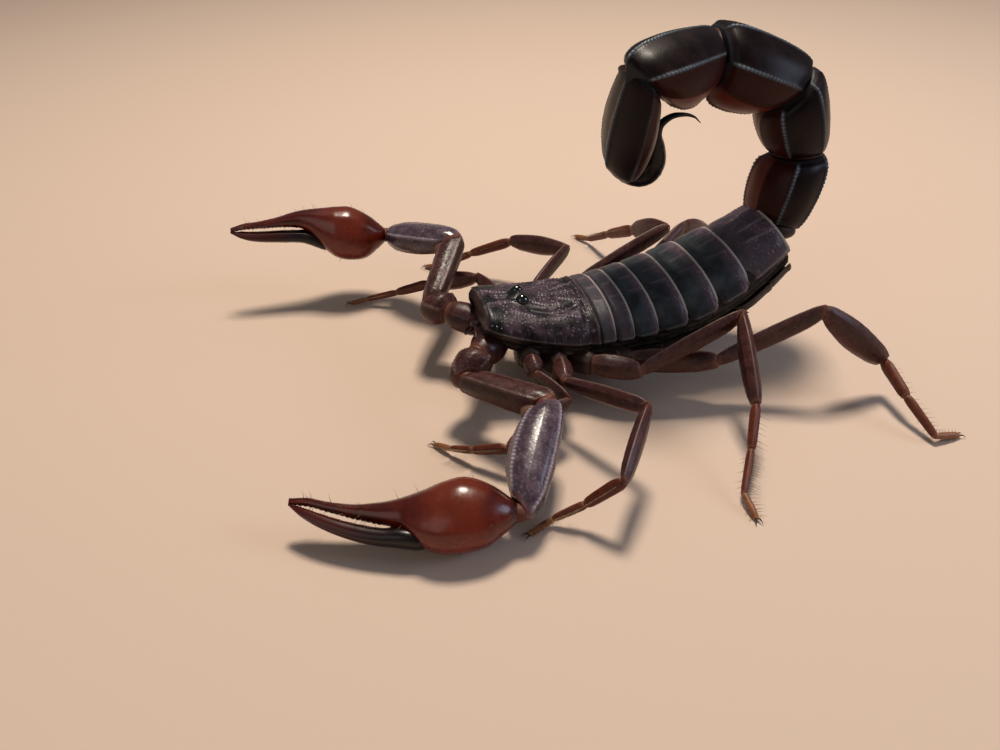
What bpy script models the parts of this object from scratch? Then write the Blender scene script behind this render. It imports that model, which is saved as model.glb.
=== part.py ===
"""Fat-tailed scorpion as a still, life-size museum model, standing on the floor z = 0.

The head points to -Y, the animal's left side is +X. Every length is in millimetres
until MM turns it into metres. The body is a chain of plates along one curved centre
line, and every limb is a chain of joint points with mitred ends, so that two
neighbouring solids meet face to face with a small gap.
"""
import math

import bmesh
import bpy
from mathutils import Vector

MM = 0.001
GAP = 0.15                      # half of the clearance left at each joint

# ---- trunk -----------------------------------------------------------------
FRONT_HEIGHT = 10.06            # floor to the middle of the carapace's front edge
PITCH_FRONT = -13.0             # slope of the back at the front edge, degrees
PITCH_PER_MM = 1.563            # how fast the back turns upwards, degrees per mm
CARAPACE_LENGTH = 10.2
CARAPACE_FRONT_HALF = 3.2
CARAPACE_REAR_HALF = 5.35
TERGITE_LENGTHS = (1.5, 1.65, 2.2, 2.75, 2.95, 3.3, 4.6)
TERGITE_HALVES = (5.5, 5.75, 5.9, 6.0, 5.9, 5.35, 4.0)
ARCH = ((0.0, 1.5), (10.2, 3.0), (19.0, 3.4), (31.4, 3.05))   # margin to mid back
PLATE_SKIRT = 0.5               # how far a back plate reaches below its margin
VENTER_DEPTH = 2.7
EYE_RADIUS = 0.55

# ---- tail: length, half width, half depth, pitch and sideways lean of each ring --
TAIL_ROOT = (-0.4, 29.9, 12.1)
TAIL = (
    (7.9, 3.30, 3.00, 72.4, -9.1),
    (6.9, 3.35, 3.05, 110.8, 0.1),
    (8.0, 3.45, 3.30, 159.2, -10.4),
    (7.9, 3.40, 3.05, 185.7, 18.3),
    (9.1, 3.65, 2.05, 268.2, -18.8),
)

# ---- limbs: joint points from the body outwards ------------------------------
SOLE = 0.24                     # height of the foot's middle above the floor
LEGS = {
    "left_leg_1": ((4.9, 3.5, 5.6), (6.8, 3.5, 5.1), (11.0, 5.0, 4.9), (13.3, -1.1, 2.8),
                   (11.3, -3.7, 1.6), (9.6, -5.3, 0.8), (8.0, -6.5, SOLE)),
    "left_leg_2": ((5.6, 6.2, 4.9), (8.9, 5.6, 5.2), (16.4, 9.9, 7.0), (22.3, 5.5, 5.4),
                   (21.0, 3.05, 2.4), (20.3, 0.6, 0.8), (20.9, -1.6, SOLE)),
    "left_leg_3": ((5.9, 9.2, 4.5), (8.3, 13.2, 4.6), (8.8, 22.3, 9.0), (16.0, 20.5, 4.7),
                   (18.9, 18.8, 2.4), (22.1, 16.6, 0.8), (24.5, 16.5, SOLE)),
    "left_leg_4": ((6.0, 13.0, 4.2), (8.9, 20.6, 4.6), (10.8, 29.5, 9.4), (12.3, 36.4, 3.6),
                   (16.5, 36.1, 2.45), (20.4, 36.6, 0.8), (20.4, 39.3, SOLE)),
    "right_leg_1": ((-4.9, 3.5, 5.6), (-7.0, 4.2, 5.6), (-11.6, 2.7, 5.4), (-15.0, -1.8, 3.6),
                    (-17.1, -5.3, 1.9), (-18.5, -8.6, 0.8), (-19.1, -10.5, SOLE)),
    "right_leg_2": ((-5.6, 6.2, 4.9), (-8.4, 8.2, 5.1), (-13.6, 13.6, 6.2), (-19.5, 8.9, 5.0),
                    (-21.9, 4.6, 2.9), (-23.8, 1.3, 0.8), (-25.2, -0.4, SOLE)),
    "right_leg_3": ((-5.9, 9.2, 4.5), (-8.4, 13.6, 5.2), (-9.5, 23.4, 9.1), (-16.2, 22.8, 6.0),
                    (-21.1, 21.8, 3.3), (-25.3, 21.1, 0.8), (-27.5, 20.1, SOLE)),
    "right_leg_4": ((-6.0, 13.0, 4.2), (-8.4, 20.0, 4.4), (-12.2, 27.0, 7.6), (-16.5, 33.0, 3.8),
                    (-19.0, 36.2, 2.3), (-21.6, 38.6, 0.8), (-22.6, 40.8, SOLE)),
}
LEG_SIZE = {"1": 0.84, "2": 0.92, "3": 1.0, "4": 1.04}    # thickness against leg 3
PALPS = {
    "left": ((3.6, -1.1, 6.15), (5.9, -2.8, 5.25), (12.7, 2.35, 6.25), (21.1, -2.5, 3.15),
             (15.1, -19.4, 3.5)),
    "right": ((-4.0, -2.0, 6.3), (-6.1, -3.4, 6.3), (-13.3, 0.7, 9.0), (-20.9, -5.4, 7.3),
              (-22.9, -22.0, 9.35)),
}
# the direction, seen across the hand, in which the movable finger opens; and how far
# the middle line bends that way along the pincer (share of the length, mm)
CHELA_OPEN = {"left": (0.80, -0.25, -0.55), "right": (0.35, 0.0, -0.93)}
CHELA_BEND = {
    "left": ((0.0, 0.0), (0.12, 0.08), (0.24, 0.32), (0.34, 0.62), (0.45, 1.2), (0.55, 1.58),
             (0.62, 1.55), (0.71, 1.31), (0.82, 0.9), (0.92, 0.42), (1.0, 0.0)),
    "right": ((0.0, 0.0), (0.24, -0.12), (0.40, -0.36), (0.55, -0.4), (0.71, -0.26), (0.87, -0.02),
              (1.0, 0.0)),
}

MATERIALS = {
    "shell": ((0.020, 0.014, 0.016), 0.32),
    "eye": ((0.004, 0.004, 0.005), 0.08),
    "belly": ((0.060, 0.036, 0.026), 0.45),
    "hand": ((0.140, 0.030, 0.012), 0.22),
    "leg": ((0.040, 0.022, 0.020), 0.36),
    "sting": ((0.012, 0.007, 0.006), 0.25),
}


def clear_scene():
    for obj in list(bpy.data.objects):
        bpy.data.objects.remove(obj)


def make_materials():
    made = {}
    for name, (colour, rough) in MATERIALS.items():
        material = bpy.data.materials.new(name)
        material.use_nodes = True
        shader = material.node_tree.nodes["Principled BSDF"]
        shader.inputs["Base Color"].default_value = (*colour, 1.0)
        shader.inputs["Roughness"].default_value = rough
        made[name] = material
    return made


def between(table, x):
    """Value of a piecewise straight table at x."""
    if x <= table[0][0]:
        return table[0][1]
    for (x0, y0), (x1, y1) in zip(table, table[1:]):
        if x <= x1:
            return y0 + (y1 - y0) * (x - x0) / (x1 - x0)
    return table[-1][1]


def loft(name, rings, material, floor=None):
    """One closed solid through rings of points, with a flat cap at each end."""
    work = bmesh.new()
    rows = []
    for ring in rings:
        row = []
        for point in ring:
            point = Vector(point)
            if floor is not None and point.z < floor:
                point.z = floor
            row.append(work.verts.new(point * MM))
        rows.append(row)
    count = len(rows[0])
    for near, far in zip(rows, rows[1:]):
        for i in range(count):
            j = (i + 1) % count
            work.faces.new((near[i], near[j], far[j], far[i]))
    work.faces.new(rows[0][::-1])
    work.faces.new(rows[-1])
    bmesh.ops.recalc_face_normals(work, faces=work.faces)
    bmesh.ops.triangulate(work, faces=work.faces)
    mesh = bpy.data.meshes.new(name)
    work.to_mesh(mesh)
    work.free()
    mesh.materials.append(material)
    obj = bpy.data.objects.new(name, mesh)
    PARTS.objects.link(obj)
    return obj


def outline(count, left, right, top, bottom, power=2.0):
    """Cross-section as (across, up) pairs: a rounded box from -left to right."""
    pairs = []
    for i in range(count):
        angle = 2 * math.pi * (i + 0.5) / count
        c, s = math.cos(angle), math.sin(angle)
        u = math.copysign(abs(c) ** (2 / power), c)
        v = math.copysign(abs(s) ** (2 / power), s)
        pairs.append((u * (right if u > 0 else left), v * (top if v > 0 else bottom)))
    return pairs


# ---- trunk -----------------------------------------------------------------
def back(s):
    """Point on the middle of the back, s mm behind the front edge, and its axes."""
    p0 = math.radians(PITCH_FRONT)
    rate = math.radians(PITCH_PER_MM)
    pitch = p0 + rate * s
    y = (math.sin(pitch) - math.sin(p0)) / rate
    z = FRONT_HEIGHT - (math.cos(pitch) - math.cos(p0)) / rate
    along = Vector((0.0, math.cos(pitch), math.sin(pitch)))
    up = Vector((0.0, -math.sin(pitch), math.cos(pitch)))
    return Vector((0.0, y, z)), along, up


def trunk_ring(s, half, top, bottom, drop, count, power=2.0, crest=0.0):
    """Ring across the trunk; its middle lies `drop` below the back line."""
    point, _, up = back(s)
    ring = []
    for u, v in outline(count, half, half, top, bottom, power):
        if v > 0:
            v += crest * math.exp(-((u / 1.0) ** 2))
        ring.append(point + Vector((u, 0.0, 0.0)) + up * (v - drop))
    return ring


def make_carapace(mats):
    rows = ((0.15, 0.96, 0.55, 0.0), (0.6, 1.0, 0.85, 0.05), (2.6, 1.0, 0.97, 0.1),
            (3.4, 1.0, 0.98, 0.45), (4.6, 1.0, 1.0, 0.45), (5.4, 1.0, 1.0, 0.0),
            (8.0, 1.0, 1.0, 0.0), (CARAPACE_LENGTH - GAP, 1.0, 1.0, 0.0))
    rings = []
    for s, wide, tall, crest in rows:
        share = min(1.0, s / 8.0)
        half = CARAPACE_FRONT_HALF + (CARAPACE_REAR_HALF - CARAPACE_FRONT_HALF) * share ** 0.5
        arch = between(ARCH, s)
        rings.append(trunk_ring(s, half * wide, arch * tall, PLATE_SKIRT, arch, 18, 2.3, crest))
    loft("carapace", rings, mats["shell"])


def make_eye(name, side, mats):
    """A low lens on the side of the eye hillock."""
    point, along, up = back(4.0)
    out = (Vector((side * 0.86, 0.0, 0.0)) + up * 0.50).normalized()
    base = point + Vector((side * 1.24, 0.0, 0.0)) + up * 0.38
    across = out.cross(along).normalized()
    ahead = across.cross(out)
    rings = []
    for lift, part in ((0.0, 1.0), (0.22, 0.86), (0.38, 0.48)):
        rings.append([base + out * lift + (across * u + ahead * v)
                      for u, v in outline(10, *(EYE_RADIUS * part,) * 4)])
    loft(name, rings, mats["eye"])


def make_tergites(mats):
    start = CARAPACE_LENGTH
    previous = CARAPACE_REAR_HALF
    for number, (length, half) in enumerate(zip(TERGITE_LENGTHS, TERGITE_HALVES), 1):
        rings = []
        for share in (0.0, 0.55, 1.0):
            s = start + GAP + (length - 2 * GAP) * share
            arch = between(ARCH, s) * (0.96 + 0.04 * share)
            wide = previous + (half - previous) * share ** 0.6
            rings.append(trunk_ring(s, wide, arch, PLATE_SKIRT, between(ARCH, s), 16, 2.3))
        loft(f"tergite_{number}", rings, mats["shell"])
        start += length
        previous = half
    return start


def make_venter(mats, rear):
    """The underside: the leg bases' block in front, the belly plates behind."""
    def block(name, rows):
        rings = []
        for s, half, deep in rows:
            drop = between(ARCH, s) + PLATE_SKIRT + 2 * GAP
            rings.append(trunk_ring(s, half, deep / 2, deep / 2, drop + deep / 2, 14, 4.0))
        loft(name, rings, mats["belly"])

    block("venter_front", ((1.4, 2.9, 2.0), (3.0, 3.7, 2.8), (6.0, 4.5, 3.1), (10.2, 4.9, 3.1)))
    block("venter_rear", ((10.5, 4.9, 3.1), (16.0, 5.3, 3.2), (22.0, 5.2, 3.1),
                          (rear - 3.5, 4.2, 2.9), (rear - 1.0, 3.4, 2.6)))


def make_pecten(name, side, mats):
    """Comb organ: a blade slanting out and back under the belly."""
    start, _, up = back(9.0)
    low = between(ARCH, 9.0) + PLATE_SKIRT + VENTER_DEPTH + 1.15
    rings = []
    for share, wide in ((0.0, 0.55), (0.3, 0.8), (0.75, 0.7), (1.0, 0.4)):
        s = 9.0 + 4.6 * share
        point, along, up = back(s)
        middle = point + Vector((side * (0.9 + 4.4 * share), 0, 0)) - up * low
        rings.append([middle + along * u + up * v
                      for u, v in outline(8, wide, wide, 0.26, 0.26)])
    loft(name, rings, mats["belly"])


def make_chelicera(name, side, mats):
    rings = []
    for y, z, wide, deep in ((0.5, 7.0, 0.7, 0.7), (-0.2, 7.1, 0.95, 0.95),
                             (-1.4, 7.0, 0.9, 0.8), (-2.3, 6.6, 0.65, 0.7),
                             (-3.0, 6.1, 0.25, 0.3)):
        middle = Vector((side * 1.12, y, z))
        rings.append([middle + Vector((u, 0, v)) for u, v in outline(8, wide, wide, deep, deep)])
    loft(name, rings, mats["hand"])


# ---- limbs -------------------------------------------------------------------
def axes_of(start, end, up_hint):
    along = (end - start).normalized()
    across = along.cross(up_hint).normalized()
    return along, across, across.cross(along)


def bisector(a, b, c):
    """Normal of the mitre plane at b; an end without a neighbour is cut square."""
    if a is None:
        return (c - b).normalized()
    if c is None:
        return (b - a).normalized()
    return ((b - a).normalized() + (c - b).normalized()).normalized()


def segment(start, end, cut_start, cut_end, up_hint, rows, count, gap_start, gap_end, power=2.0):
    """Rings of one limb segment between two mitre planes.

    Each row is (share of the length, half width, half depth)."""
    along, across, up = axes_of(start, end, up_hint)
    length = (end - start).length
    rings = []
    for share, wide, deep in rows:
        ring = []
        for u, v in outline(count, wide, wide, deep, deep, power):
            side = across * u + up * v
            first = gap_start - side.dot(cut_start) / along.dot(cut_start)
            last = length - gap_end - side.dot(cut_end) / along.dot(cut_end)
            ring.append(start + side + along * (first + (last - first) * share))
        rings.append(ring)
    return rings


def upright(start, end):
    """The up direction of a leg segment: as near vertical as its axis allows."""
    along = (end - start).normalized()
    if abs(along.z) > 0.97:
        return Vector((along.x, along.y, 0.0)).normalized()
    return Vector((0.0, 0.0, 1.0))


FEMUR_ROWS = ((0.1, 0.55, 0.75), (0.5, 0.62, 0.98), (0.9, 0.55, 0.85), (1.0, 0.45, 0.65))
PATELLA_ROWS = ((0.0, 0.42, 0.62), (0.15, 0.58, 0.8), (0.5, 0.68, 1.12), (0.88, 0.6, 0.9),
                (1.0, 0.45, 0.62))
TIBIA_ROWS = ((0.0, 0.42, 0.56), (0.2, 0.5, 0.68), (0.85, 0.44, 0.55), (1.0, 0.38, 0.46))
BASITARSUS_ROWS = ((0.15, 0.38, 0.46), (0.9, 0.33, 0.38))
HEEL_ROWS = ((0.4, 0.33, 0.38), (1.0, 0.32, 0.36))
SOLE_ROWS = ((0.6, 0.31, 0.36), (1.0, 0.26, 0.32))


def scaled(rows, size):
    return [(share, wide * size, deep * size) for share, wide, deep in rows]


def make_leg(name, mats):
    size = LEG_SIZE[name[-1]]
    p = [Vector(point) for point in LEGS[name]]
    p.insert(6, p[5].lerp(p[6], 0.4))
    p[6].z = SOLE
    cut = [bisector(p[i - 1] if i else None, p[i], p[i + 1] if i < 7 else None) for i in range(8)]

    def part(i, rows, gap_start=0.0, gap_end=0.0):
        return segment(p[i], p[i + 1], cut[i], cut[i + 1], upright(p[i], p[i + 1]),
                       scaled(rows, size), 8, gap_start, gap_end)

    upper = part(0, ((0.0, 0.7, 0.8), (0.35, 0.8, 0.92), (0.85, 0.68, 0.82), (1.0, 0.5, 0.68)))
    upper += part(1, FEMUR_ROWS, 0.0, GAP)
    loft(name + "_upper", upper, mats["leg"])
    loft(name + "_patella", part(2, PATELLA_ROWS, GAP, GAP), mats["leg"])
    lower = part(3, TIBIA_ROWS, GAP, 0.0) + part(4, BASITARSUS_ROWS)
    lower += part(5, HEEL_ROWS) + part(6, SOLE_ROWS)
    loft(name + "_lower", lower, mats["leg"], floor=0.0)


HAND_ROWS = (  # share of the length, inner edge, outer edge, half depth
    (0.00, 0.58, 0.64, 0.62), (0.05, 1.22, 1.48, 1.40), (0.13, 2.15, 2.65, 2.10),
    (0.24, 2.85, 3.02, 2.50), (0.33, 2.68, 2.85, 2.40), (0.39, 2.46, 1.75, 2.10),
    (0.45, 2.28, 0.30, 1.60), (0.53, 2.05, -0.18, 1.15), (0.62, 1.72, -0.20, 0.98),
    (0.71, 1.28, -0.20, 0.85), (0.82, 0.98, -0.20, 0.65), (0.92, 0.78, -0.16, 0.45),
    (1.00, 0.58, -0.14, 0.25))
FINGER_ROWS = (  # the movable finger: share, inner edge, outer edge, half depth
    (0.0, 0.55, 2.40, 1.35), (0.10, 0.22, 1.95, 1.20), (0.25, 0.20, 1.52, 1.05),
    (0.50, 0.20, 1.48, 0.90), (0.70, 0.20, 1.32, 0.75), (0.87, 0.18, 0.98, 0.50),
    (1.0, 0.16, 0.56, 0.25))


def make_chela(side, mats):
    wrist, tip = (Vector(v) for v in PALPS[side][3:5])
    length = (tip - wrist).length
    along = (tip - wrist).normalized()
    opening = Vector(CHELA_OPEN[side])
    opening = (opening - along * opening.dot(along)).normalized()
    depth = along.cross(opening)

    def place(share, u, v):
        bend = between(CHELA_BEND[side], share)
        return wrist + along * (length * share) + opening * (u + bend) + depth * v

    rings = []
    for share, inner, outer, deep in HAND_ROWS:
        middle, half = (outer - inner) / 2, (outer + inner) / 2
        low = GAP / length
        rings.append([place(low + (1 - low) * share, middle + u, v)
                      for u, v in outline(12, half, half, deep, deep, 2.2)])
    loft(side + "_chela", rings, mats["hand"])
    rings = []
    for share, inner, outer, deep in FINGER_ROWS:
        middle, half = (outer + inner) / 2, (outer - inner) / 2
        ring = []
        for u, v in outline(10, half, half, deep, deep, 2.2):
            base = 0.492 - 0.050 * (middle + u - 0.25)
            ring.append(place(base + (1 - base) * share, middle + u, v))
        rings.append(ring)
    loft(side + "_movable_finger", rings, mats["hand"])


def make_palp(side, mats):
    p = [Vector(point) for point in PALPS[side]]
    cut = [bisector(p[i - 1] if i else None, p[i], p[i + 1] if i < 4 else None) for i in range(5)]
    up = Vector((0.0, 0.0, 1.0))
    rows = ((0.0, 1.15, 1.2), (0.3, 1.75, 1.75), (0.7, 1.75, 1.7), (1.0, 1.05, 1.1))
    loft(side + "_palp_trochanter",
         segment(p[0], p[1], cut[0], cut[1], up, rows, 10, 0.0, GAP), mats["shell"])
    rows = ((0.0, 0.85, 0.8), (0.12, 1.15, 1.15), (0.6, 1.35, 1.3), (0.9, 1.35, 1.3),
            (1.0, 1.1, 1.1))
    loft(side + "_palp_femur",
         segment(p[1], p[2], cut[1], cut[2], up, rows, 10, GAP, GAP, 2.6), mats["shell"])
    rows = ((0.0, 1.05, 1.0), (0.15, 1.8, 1.45), (0.45, 2.05, 1.65), (0.8, 1.8, 1.5),
            (1.0, 1.0, 1.0))
    loft(side + "_palp_patella",
         segment(p[2], p[3], cut[2], cut[3], up, rows, 10, GAP, 3 * GAP, 2.3), mats["shell"])
    make_chela(side, mats)


# ---- tail --------------------------------------------------------------------
def tail_points():
    points = [Vector(TAIL_ROOT)]
    ups = []
    for length, _, _, pitch, lean in TAIL:
        pitch, lean = math.radians(pitch), math.radians(lean)
        along = Vector((math.sin(lean), math.cos(lean) * math.cos(pitch),
                        math.cos(lean) * math.sin(pitch)))
        points.append(points[-1] + along * length)
        ups.append(Vector((0.0, -math.sin(pitch), math.cos(pitch))))
    return points, ups


def make_tail(mats):
    points, ups = tail_points()
    for number, (_, wide, deep, _, _) in enumerate(TAIL, 1):
        i = number - 1
        before = points[i - 1] if i else None
        after = points[i + 2] if i < 4 else None
        cut_start = bisector(before, points[i], points[i + 1])
        cut_end = bisector(points[i], points[i + 1], after)
        rows = ((0.0, 0.80, 0.80), (0.12, 0.93, 0.94), (0.45, 1.0, 1.0), (0.85, 0.98, 0.98),
                (1.0, 0.86, 0.88))
        if number == 4:
            rows = rows[:3] + ((0.82, 0.96, 0.96), (1.0, 0.74, 0.76))
        if number == 5:
            rows = ((0.0, 0.80, 0.92), (0.12, 0.98, 1.08), (0.4, 1.0, 1.04), (0.64, 0.94, 0.90),
                    (0.8, 0.84, 0.76), (1.0, 0.62, 0.62))
        rows = [(share, wide * a, deep * b) for share, a, b in rows]
        loft(f"metasoma_{number}",
             segment(points[i], points[i + 1], cut_start, cut_end, ups[i], rows, 14,
                     1.85 if i == 0 else GAP, GAP, 2.7), mats["shell"])
    make_telson(points[5], (points[5] - points[4]).normalized(), ups[4], mats)


# the telson folds back up along the inside of the last ring:
# (down the tail, towards the inside, sideways, half width, half depth)
TELSON = ((0.65, 0.4, 0.0, 0.66, 0.6), (1.05, 1.15, 0.0, 0.95, 0.85),
          (0.98, 2.2, 0.0, 1.35, 1.1), (0.4, 2.95, 0.0, 1.5, 1.2),
          (-0.8, 3.15, 0.0, 1.5, 1.18), (-2.0, 3.05, 0.0, 1.2, 0.92),
          (-3.0, 2.85, 0.0, 0.8, 0.62), (-3.8, 2.8, 0.0, 0.5, 0.44),
          (-4.6, 3.0, 0.0, 0.38, 0.34), (-5.3, 3.8, 0.0, 0.32, 0.30),
          (-5.4, 5.0, 0.0, 0.28, 0.27), (-5.0, 6.1, 0.0, 0.25, 0.25),
          (-4.3, 7.0, 0.0, 0.25, 0.25))


def make_telson(root, down, inside, mats):
    inside = (inside - down * inside.dot(down)).normalized()
    across = down.cross(inside)
    centres = [root + down * a + inside * b + across * c for a, b, c, _, _ in TELSON]
    rings = []
    for i, (_, _, _, wide, deep) in enumerate(TELSON):
        before = centres[max(i - 1, 0)]
        after = centres[min(i + 1, len(centres) - 1)]
        along = (after - before).normalized()
        up = across.cross(along)
        rings.append([centres[i] + across * u + up * v
                      for u, v in outline(10, wide, wide, deep, deep)])
    loft("telson", rings, mats["sting"])


def centre_on_floor():
    """Shifts every part so that the model's box stands centred on the origin."""
    xs, ys = [], []
    for obj in PARTS.objects:
        xs += [v.co.x for v in obj.data.vertices]
        ys += [v.co.y for v in obj.data.vertices]
    shift = Vector((-(min(xs) + max(xs)) / 2, -(min(ys) + max(ys)) / 2, 0.0))
    print("shift in mm", [round(c / MM, 3) for c in shift])
    for obj in PARTS.objects:
        for vertex in obj.data.vertices:
            vertex.co += shift


clear_scene()
PARTS = bpy.data.collections.new("scorpion")
bpy.context.scene.collection.children.link(PARTS)
materials = make_materials()
make_carapace(materials)
make_eye("median_eye_left", 1, materials)
make_eye("median_eye_right", -1, materials)
trunk_end = make_tergites(materials)
make_venter(materials, trunk_end)
make_pecten("pecten_left", 1, materials)
make_pecten("pecten_right", -1, materials)
make_chelicera("chelicera_left", 1, materials)
make_chelicera("chelicera_right", -1, materials)
for palp_side in PALPS:
    make_palp(palp_side, materials)
for leg_name in LEGS:
    make_leg(leg_name, materials)
make_tail(materials)
centre_on_floor()
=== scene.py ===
"""Dark fat-tailed scorpion at life size, as a still museum model in a pale studio.

The head points to -Y, the animal's left side is +X and it stands on z = 0. Sizes are
in millimetres until add_piece() turns them into metres. Every plate, limb and tail
ring is a grid rolled round its own axis, with keels, beads and granules raised on it.
"""
import math
import random

import bmesh
import bpy
from mathutils import Matrix, Vector, noise


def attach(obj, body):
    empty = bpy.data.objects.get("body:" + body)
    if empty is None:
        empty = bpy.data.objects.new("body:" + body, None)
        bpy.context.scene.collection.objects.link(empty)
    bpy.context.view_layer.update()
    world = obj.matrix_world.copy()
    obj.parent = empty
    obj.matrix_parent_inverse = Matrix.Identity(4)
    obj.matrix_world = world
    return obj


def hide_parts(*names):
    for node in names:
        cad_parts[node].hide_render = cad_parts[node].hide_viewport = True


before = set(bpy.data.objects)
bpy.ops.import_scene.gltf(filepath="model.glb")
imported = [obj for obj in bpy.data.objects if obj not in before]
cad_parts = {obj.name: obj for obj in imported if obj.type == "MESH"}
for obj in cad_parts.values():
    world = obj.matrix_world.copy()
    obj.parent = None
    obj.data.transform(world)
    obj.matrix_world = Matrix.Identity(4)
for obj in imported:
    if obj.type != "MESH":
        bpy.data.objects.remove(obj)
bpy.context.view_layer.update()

MM = 0.001
SHIFT = Vector((1.545, -9.406, 0.0))    # from the body's own axes to the model's
UP = Vector((0.0, 0.0, 1.0))
SIDE = Vector((1.0, 0.0, 0.0))          # towards the animal's left
BOTH = ((1, "left"), (-1, "right"))
MERGE = 1e-7                            # metres; points this near become one
FINENESS = 1.0
random.seed(7)

# ---- the animal's own sizes ---------------------------------------------------
# s is the distance in mm behind the front edge of the head shield, along the back
FRONT_HEIGHT = 10.06    # mm from the ground to that edge
PITCH_FRONT = -13.0     # degrees by which the back rises there
PITCH_PER_MM = 1.563    # and how much more for each mm of s
CARAPACE_LENGTH = 10.2
CARAPACE_FRONT_HALF = 3.2
CARAPACE_REAR_HALF = 5.35
TERGITE_LENGTHS = (1.5, 1.65, 2.2, 2.75, 2.95, 3.3, 4.6)
TERGITE_HALVES = (5.5, 5.75, 5.9, 6.0, 5.9, 5.35, 4.0)
TRUNK = [(CARAPACE_LENGTH, CARAPACE_REAR_HALF)]     # rear edge and half width of each plate
for row in zip(TERGITE_LENGTHS, TERGITE_HALVES):
    TRUNK.append((TRUNK[-1][0] + row[0], row[1]))
ARCH = ((0.0, 1.5), (10.2, 3.0), (19.0, 3.4), (31.4, 3.05))     # s and the plates' height
PLATE_WRAP = 1.12       # half turns that a back plate goes round the trunk
PLATE_SKIRT = 0.5       # how far its sides then go below their widest line
PLATE_SQUARE = 0.87     # 1 for a round outline, less for a squarer one
PLATE_LIP = 0.42        # thickness at its edge
SKIN_INSET = 0.38       # how far the soft skin lies inside the plates' sides
VENTER_DEPTH = 2.7      # mm from the plates' margin to the belly
TAIL_ROOT = (-0.4, 29.9, 12.1)
TAIL = (  # length, half width, half depth, pitch and lean of each ring
    (7.9, 3.30, 3.00, 72.4, -9.1),
    (6.9, 3.35, 3.05, 110.8, 0.1),
    (8.0, 3.45, 3.30, 159.2, -10.4),
    (7.9, 3.40, 3.05, 185.7, 18.3),
    (9.1, 3.65, 2.05, 268.2, -18.8),
)
TAIL_ROLL = (-12, 0, -50, -66, -55)     # how far each ring's keels are turned, degrees
TELSON = (  # order, down the tail, towards the inside, half width, half depth
    (0, 0.4, 0.1, 0.70, 0.62), (1, 0.85, 0.95, 1.0, 0.88), (2, 0.95, 2.05, 1.40, 1.15),
    (3, 0.45, 2.9, 1.58, 1.26), (4, -0.75, 3.15, 1.55, 1.22), (5, -2.0, 3.05, 1.22, 0.95),
    (6, -3.0, 2.85, 0.84, 0.64), (7, -3.8, 2.8, 0.52, 0.46), (8, -4.6, 3.0, 0.37, 0.35),
    (9, -5.3, 3.8, 0.28, 0.27), (10, -5.4, 5.0, 0.19, 0.18), (11, -5.05, 6.1, 0.11, 0.10),
    (12, -4.3, 7.0, 0.03, 0.03))
SOLE = 0.24             # mm from the ground to the middle of a foot's tip
HAIR_LOW = 0.05         # mm from the ground to the lowest tip of a bristle
HAIR_ROOT = 0.28        # mm from a shin's middle line to the root of a bristle
LEGS = {  # joints from the trunk to the tip of the foot
    "left_leg_1": ((4.9, 3.5, 5.6), (6.8, 3.5, 5.1), (11.0, 5.0, 4.9), (13.3, -1.1, 2.8),
                   (11.3, -3.7, 1.6), (9.6, -5.3, 0.8), (8.0, -6.5, SOLE)),
    "left_leg_2": ((5.6, 6.2, 4.9), (8.9, 5.6, 5.2), (16.4, 9.9, 7.0), (22.3, 5.5, 5.4),
                   (21.0, 3.05, 2.4), (20.3, 0.6, 0.8), (20.9, -1.6, SOLE)),
    "left_leg_3": ((5.9, 9.2, 4.5), (8.3, 13.2, 4.6), (8.8, 22.3, 9.0), (16.0, 20.5, 4.7),
                   (18.9, 18.8, 2.4), (22.1, 16.6, 0.8), (24.5, 16.5, SOLE)),
    "left_leg_4": ((6.0, 13.0, 4.2), (8.9, 20.6, 4.6), (10.8, 29.5, 9.4), (12.3, 36.4, 3.6),
                   (16.5, 36.1, 2.45), (20.4, 36.6, 0.8), (20.4, 39.3, SOLE)),
    "right_leg_1": ((-4.9, 3.5, 5.6), (-7.0, 4.2, 5.6), (-11.6, 2.7, 5.4), (-15.0, -1.8, 3.6),
                    (-17.1, -5.3, 1.9), (-18.5, -8.6, 0.8), (-19.1, -10.5, SOLE)),
    "right_leg_2": ((-5.6, 6.2, 4.9), (-8.4, 8.2, 5.1), (-13.6, 13.6, 6.2), (-19.5, 8.9, 5.0),
                    (-21.9, 4.6, 2.9), (-23.8, 1.3, 0.8), (-25.2, -0.4, SOLE)),
    "right_leg_3": ((-5.9, 9.2, 4.5), (-8.4, 13.6, 5.2), (-9.5, 23.4, 9.1), (-16.2, 22.8, 6.0),
                    (-21.1, 21.8, 3.3), (-25.3, 21.1, 0.8), (-27.5, 20.1, SOLE)),
    "right_leg_4": ((-6.0, 13.0, 4.2), (-8.4, 20.0, 4.4), (-12.2, 27.0, 7.6), (-16.5, 33.0, 3.8),
                    (-19.0, 36.2, 2.3), (-21.6, 38.6, 0.8), (-22.6, 40.8, SOLE)),
}
# how thick each pair of legs is
LEG_SIZE = {"1": 0.84, "2": 0.92, "3": 1.0, "4": 1.04}
PALPS = {  # joints from the trunk to the wrist, and the tip of the pincer
    "left": ((3.6, -1.1, 6.15), (5.9, -2.8, 5.25), (12.7, 2.35, 6.25), (21.1, -2.5, 3.15),
             (15.1, -19.4, 3.5)),
    "right": ((-4.0, -2.0, 6.3), (-6.1, -3.4, 6.3), (-13.3, 0.7, 9.0), (-20.9, -5.4, 7.3),
              (-22.9, -22.0, 9.35)),
}
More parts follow.
